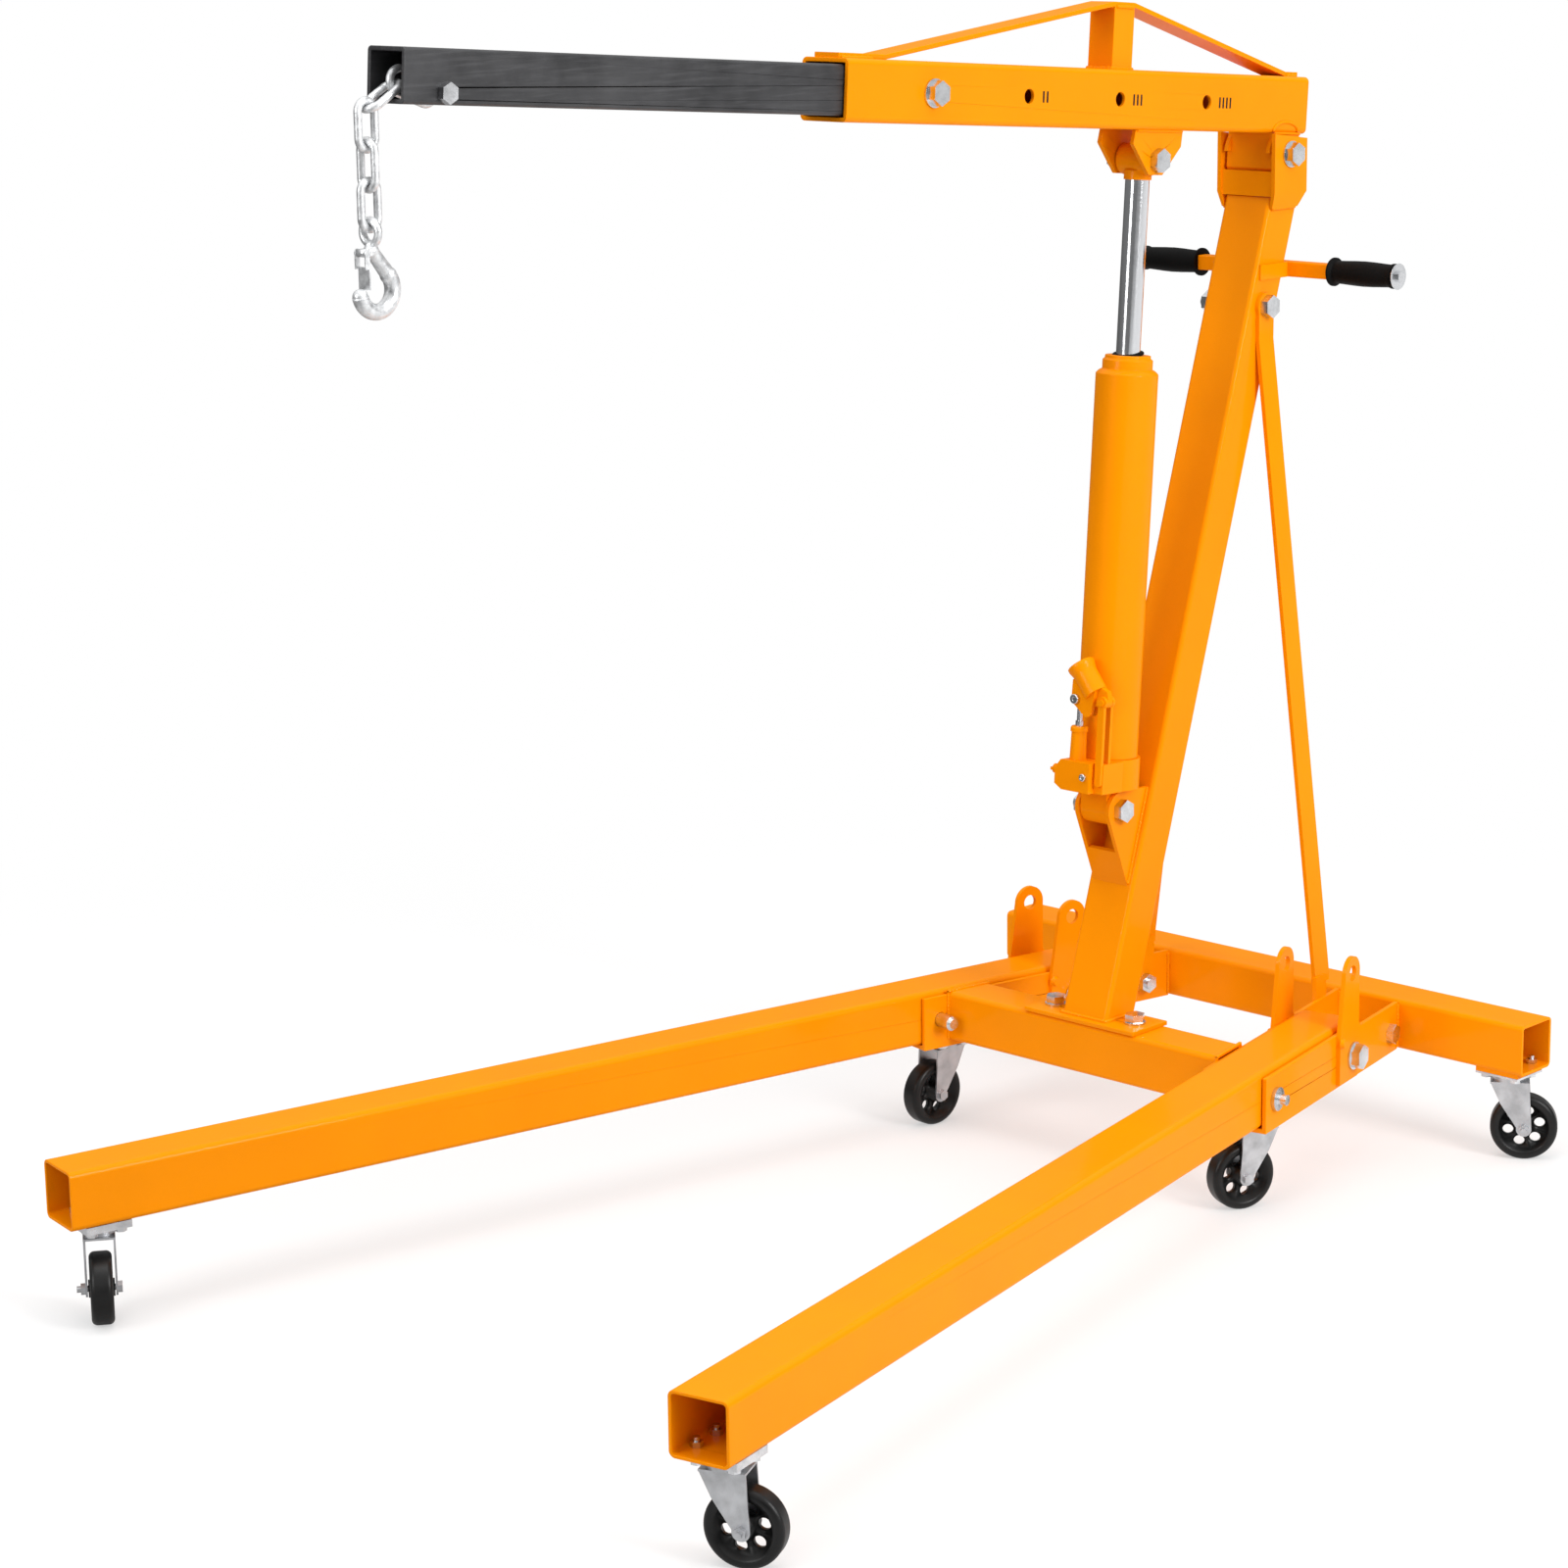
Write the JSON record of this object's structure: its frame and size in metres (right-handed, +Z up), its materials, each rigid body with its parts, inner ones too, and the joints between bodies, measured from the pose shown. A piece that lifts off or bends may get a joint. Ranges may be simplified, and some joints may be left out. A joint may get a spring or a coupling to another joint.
{
  "type": "folding engine hoist crane",
  "caption": "Folding workshop crane: splayed legs on swivel casters, leaning mast, hydraulic ram and telescopic boom with chain and hook.",
  "frame": {"origin": "on the floor under the middle of the crane, in its plane of symmetry", "axes": "+Z up, the crane faces -Y, +X is the crane's own left side"},
  "size_m": [1.1813, 1.7395, 1.5432],
  "materials": {
    "orange_paint": "gloss powder coat",
    "zinc_plate": "bright zinc plate",
    "black_wheel": "satin moulded",
    "black_rubber": "matte",
    "dark_tube": "dark mill scale, oiled",
    "galvanised_chain": "galvanised",
    "chrome_rod": "polished"
  },
  "bodies": {
    "base": {"front_crossbeam": "orange_paint", "rear_crossbeam": "orange_paint", "left_sleeve": "orange_paint", "right_sleeve": "orange_paint", "left_arm_plates": "orange_paint", "right_arm_plates": "orange_paint", "leg_pivot_bolts": "zinc_plate", "frame_bolts": "zinc_plate", "mast_tube": "orange_paint", "mast_foot": "orange_paint", "mast_head": "orange_paint", "mast_bolts": "zinc_plate", "ram_ears": "orange_paint", "left_brace": "orange_paint", "right_brace": "orange_paint", "handle_bar": "orange_paint", "handle_grips": "black_rubber", "grip_ends": "zinc_plate", "base_caster_plates": "zinc_plate"},
    "left_leg": {"left_leg": "orange_paint", "left_leg_plate": "zinc_plate"},
    "left_lock_pin": {"left_lock_pin": "zinc_plate"},
    "fork_left_tip": {"fork_left_tip": "zinc_plate"},
    "wheel_left_tip": {"wheel_left_tip": "black_wheel"},
    "fork_left_mid": {"fork_left_mid": "zinc_plate"},
    "wheel_left_mid": {"wheel_left_mid": "black_wheel"},
    "fork_left_rear": {"fork_left_rear": "zinc_plate"},
    "wheel_left_rear": {"wheel_left_rear": "black_wheel"},
    "right_leg": {"right_leg": "orange_paint", "right_leg_plate": "zinc_plate"},
    "right_lock_pin": {"right_lock_pin": "zinc_plate"},
    "fork_right_tip": {"fork_right_tip": "zinc_plate"},
    "wheel_right_tip": {"wheel_right_tip": "black_wheel"},
    "fork_right_mid": {"fork_right_mid": "zinc_plate"},
    "wheel_right_mid": {"wheel_right_mid": "black_wheel"},
    "fork_right_rear": {"fork_right_rear": "zinc_plate"},
    "wheel_right_rear": {"wheel_right_rear": "black_wheel"},
    "boom": {"boom_tube": "orange_paint", "boom_truss": "orange_paint", "boom_clevis": "orange_paint", "boom_lug": "orange_paint", "clevis_bolt": "zinc_plate", "position_bolt": "zinc_plate"},
    "inner_boom": {"inner_boom": "dark_tube", "chain_bolt": "zinc_plate"},
    "chain_link_1": {"chain_link_1": "galvanised_chain"},
    "chain_link_2": {"chain_link_2": "galvanised_chain"},
    "chain_link_3": {"chain_link_3": "galvanised_chain"},
    "chain_link_4": {"chain_link_4": "galvanised_chain"},
    "chain_link_5": {"chain_link_5": "galvanised_chain"},
    "hook": {"hook": "galvanised_chain"},
    "hook_latch": {"hook_latch": "galvanised_chain"},
    "ram": {"ram_cylinder": "orange_paint", "ram_base": "orange_paint", "pump_cylinder": "orange_paint"},
    "ram_rod": {"ram_rod": "chrome_rod", "rod_eye": "orange_paint"},
    "pump_socket": {"pump_socket": "orange_paint"},
    "pump_plunger": {"pump_plunger": "zinc_plate"},
    "release_valve": {"release_valve": "orange_paint"}
  },
  "joints": [
    {"name": "left_leg_fold", "type": "hinge", "parent": "base", "child": "left_leg", "pos_m": [0.231, 0.632, 0.159], "axis": [-0.9786, -0.2057, 0], "range_deg": [0, 90]},
    {"name": "left_lock_pin_pull", "type": "slide", "parent": "base", "child": "left_lock_pin", "axis": [0.9786, 0.2057, 0], "range_m": [0, 0.13]},
    {"name": "left_tip_swivel", "type": "hinge", "parent": "left_leg", "child": "fork_left_tip", "pos_m": [0.53501, -0.8144, 0.115], "axis": [0, 0, 1], "continuous": true},
    {"name": "left_tip_roll", "type": "hinge", "parent": "fork_left_tip", "child": "wheel_left_tip", "pos_m": [0.55495, -0.8051, 0.045], "axis": [-0.4226, 0.9063, 0], "continuous": true},
    {"name": "left_mid_swivel", "type": "hinge", "parent": "base", "child": "fork_left_mid", "pos_m": [0.27111, 0.44117, 0.115], "axis": [0, 0, 1], "continuous": true},
    {"name": "left_mid_roll", "type": "hinge", "parent": "fork_left_mid", "child": "wheel_left_mid", "pos_m": [0.26251, 0.42092, 0.045], "axis": [0.9205, -0.3907, 0], "continuous": true},
    {"name": "left_rear_swivel", "type": "hinge", "parent": "base", "child": "fork_left_rear", "pos_m": [0.408, 0.823, 0.115], "axis": [0, 0, 1], "continuous": true},
    {"name": "left_rear_roll", "type": "hinge", "parent": "fork_left_rear", "child": "wheel_left_rear", "pos_m": [0.42645, 0.83498, 0.045], "axis": [-0.5446, 0.8387, 0], "continuous": true},
    {"name": "right_leg_fold", "type": "hinge", "parent": "base", "child": "right_leg", "pos_m": [-0.231, 0.632, 0.159], "axis": [-0.9786, 0.2057, 0], "range_deg": [0, 90]},
    {"name": "right_lock_pin_pull", "type": "slide", "parent": "base", "child": "right_lock_pin", "axis": [-0.9786, 0.2057, 0], "range_m": [0, 0.13]},
    {"name": "right_tip_swivel", "type": "hinge", "parent": "right_leg", "child": "fork_right_tip", "pos_m": [-0.53501, -0.8144, 0.115], "axis": [0, 0, 1], "continuous": true},
    {"name": "right_tip_roll", "type": "hinge", "parent": "fork_right_tip", "child": "wheel_right_tip", "pos_m": [-0.51721, -0.82733, 0.045], "axis": [0.5878, 0.809, 0], "continuous": true},
    {"name": "right_mid_swivel", "type": "hinge", "parent": "base", "child": "fork_right_mid", "pos_m": [-0.27111, 0.44117, 0.115], "axis": [0, 0, 1], "continuous": true},
    {"name": "right_mid_roll", "type": "hinge", "parent": "fork_right_mid", "child": "wheel_right_mid", "pos_m": [-0.27303, 0.41925, 0.045], "axis": [0.9962, -0.0872, 0], "continuous": true},
    {"name": "right_rear_swivel", "type": "hinge", "parent": "base", "child": "fork_right_rear", "pos_m": [-0.408, 0.823, 0.115], "axis": [0, 0, 1], "continuous": true},
    {"name": "right_rear_roll", "type": "hinge", "parent": "fork_right_rear", "child": "wheel_right_rear", "pos_m": [-0.42705, 0.812, 0.045], "axis": [0.5, -0.866, 0], "continuous": true},
    {"name": "boom_lift", "type": "hinge", "parent": "base", "child": "boom", "pos_m": [0, 0.78697, 1.332], "axis": [-1, 0, 0], "range_deg": [-30, 30]},
    {"name": "boom_reach", "type": "slide", "parent": "boom", "child": "inner_boom", "axis": [0, 0.9972, -0.0745], "range_m": [0, 0.537]},
    {"name": "link_1_swing", "type": "hinge", "parent": "inner_boom", "child": "chain_link_1", "pos_m": [0, -0.69141, 1.48951], "axis": [-1, 0, 0], "range_deg": [0, 18]},
    {"name": "link_2_swing", "type": "hinge", "parent": "chain_link_1", "child": "chain_link_2", "pos_m": [0, -0.7293, 1.50351], "axis": [-1, 0, 0], "range_deg": [0, 35]},
    {"name": "link_3_swing", "type": "hinge", "parent": "chain_link_2", "child": "chain_link_3", "pos_m": [0, -0.77698, 1.47628], "axis": [1, 0, 0], "range_deg": [-35, 35]},
    {"name": "link_4_swing", "type": "hinge", "parent": "chain_link_3", "child": "chain_link_4", "pos_m": [0, -0.77698, 1.43438], "axis": [0, 1, 0], "range_deg": [-35, 35]},
    {"name": "link_5_swing", "type": "hinge", "parent": "chain_link_4", "child": "chain_link_5", "pos_m": [0, -0.77698, 1.39248], "axis": [1, 0, 0], "range_deg": [-35, 35]},
    {"name": "hook_swing", "type": "hinge", "parent": "chain_link_5", "child": "hook", "pos_m": [0, -0.77698, 1.35058], "axis": [0, 1, 0], "range_deg": [-35, 35]},
    {"name": "hook_latch_open", "type": "hinge", "parent": "hook", "child": "hook_latch", "pos_m": [0, -0.78898, 1.32618], "axis": [1, 0, 0], "range_deg": [0, 30], "stiffness_Nm_per_rad": 0.05, "springref_deg": -22.92},
    {"name": "ram_tilt", "type": "hinge", "parent": "base", "child": "ram", "pos_m": [0, 0.459, 0.49], "axis": [-1, 0, 0], "range_deg": [-0.5, 0.5]},
    {"name": "rod_extend", "type": "slide", "parent": "ram", "child": "ram_rod", "axis": [0, 0.0761, 0.9971], "range_m": [-0.132, 0.132]},
    {"name": "pump_stroke", "type": "hinge", "parent": "ram", "child": "pump_socket", "pos_m": [0.042, 0.41073, 0.64612], "axis": [0, 0.9971, -0.0761], "range_deg": [-6.5, 18]},
    {"name": "plunger_slide", "type": "slide", "parent": "ram", "child": "pump_plunger", "axis": [0, 0.0761, 0.9971], "range_m": [-0.0049, 0.0134]},
    {"name": "valve_turn", "type": "hinge", "parent": "ram", "child": "release_valve", "pos_m": [-0.025, 0.39929, 0.54871], "axis": [-1, 0, 0], "range_deg": [0, 360]}
  ],
  "couplings": [
    {"joint": "ram_tilt", "follows": "boom_lift", "ratio": -0.0135},
    {"joint": "rod_extend", "follows": "boom_lift", "m_per_rad": 0.2503},
    {"joint": "plunger_slide", "follows": "pump_stroke", "m_per_rad": 0.042}
  ]
}
